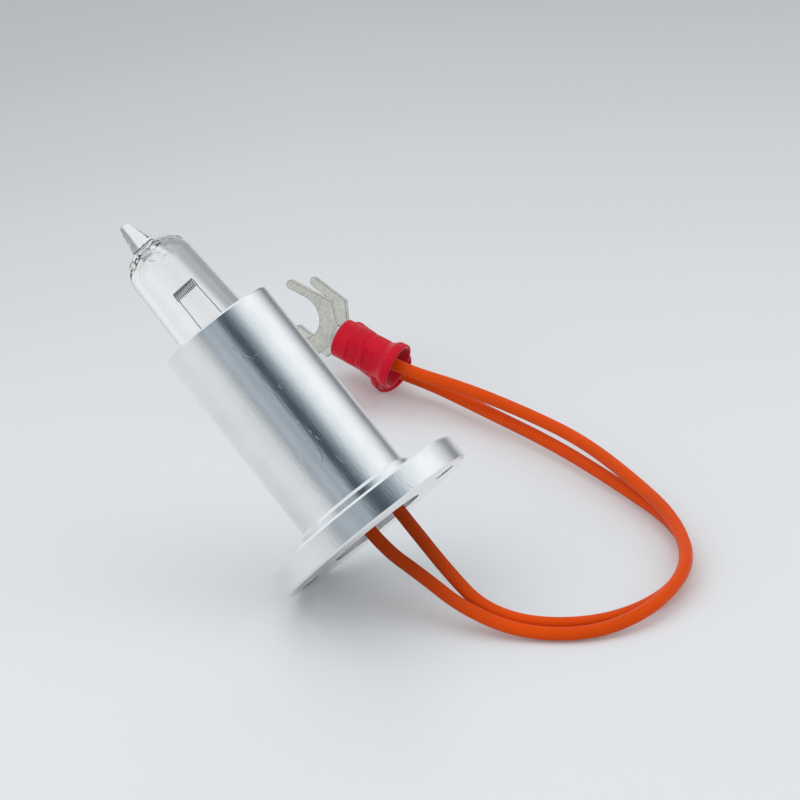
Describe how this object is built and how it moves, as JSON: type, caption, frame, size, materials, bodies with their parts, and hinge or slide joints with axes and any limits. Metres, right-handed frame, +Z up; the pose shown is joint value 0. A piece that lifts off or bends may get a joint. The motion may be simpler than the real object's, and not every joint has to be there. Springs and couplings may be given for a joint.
{
  "type": "analyzer halogen lamp",
  "caption": "Quartz halogen capsule cemented in a turned aluminium flange housing, with insulated leads ending in sleeved fork terminals.",
  "frame": {"origin": "on the bench, under the middle of the lamp's box without its leads and terminals", "axes": "+Z up from the bench as the lamp lies in the picture, +X to the right and +Y away from the camera"},
  "size_m": [0.0716, 0.0877, 0.0428],
  "materials": {
    "turned_aluminium": "bright turned",
    "potting_compound": "matte set compound",
    "quartz": "clear",
    "tungsten_wire": "drawn wire",
    "orange_insulation": "satin",
    "bare_conductor": "bare copper",
    "tinned_fork": "matte tin plate",
    "red_sleeve": "gloss"
  },
  "bodies": {
    "root": {"housing": "turned_aluminium", "rear_potting": "potting_compound", "cement_plug": "potting_compound", "bulb_envelope": "quartz", "filament": "tungsten_wire", "filament_lead_a": "tungsten_wire", "filament_lead_b": "tungsten_wire", "lead_a": "orange_insulation", "lead_b": "orange_insulation", "conductor_end_a": "bare_conductor", "conductor_end_b": "bare_conductor", "fork_terminal_a": "tinned_fork", "fork_terminal_b": "tinned_fork", "terminal_sleeve_a": "red_sleeve", "terminal_sleeve_b": "red_sleeve"}
  },
  "joints": []
}
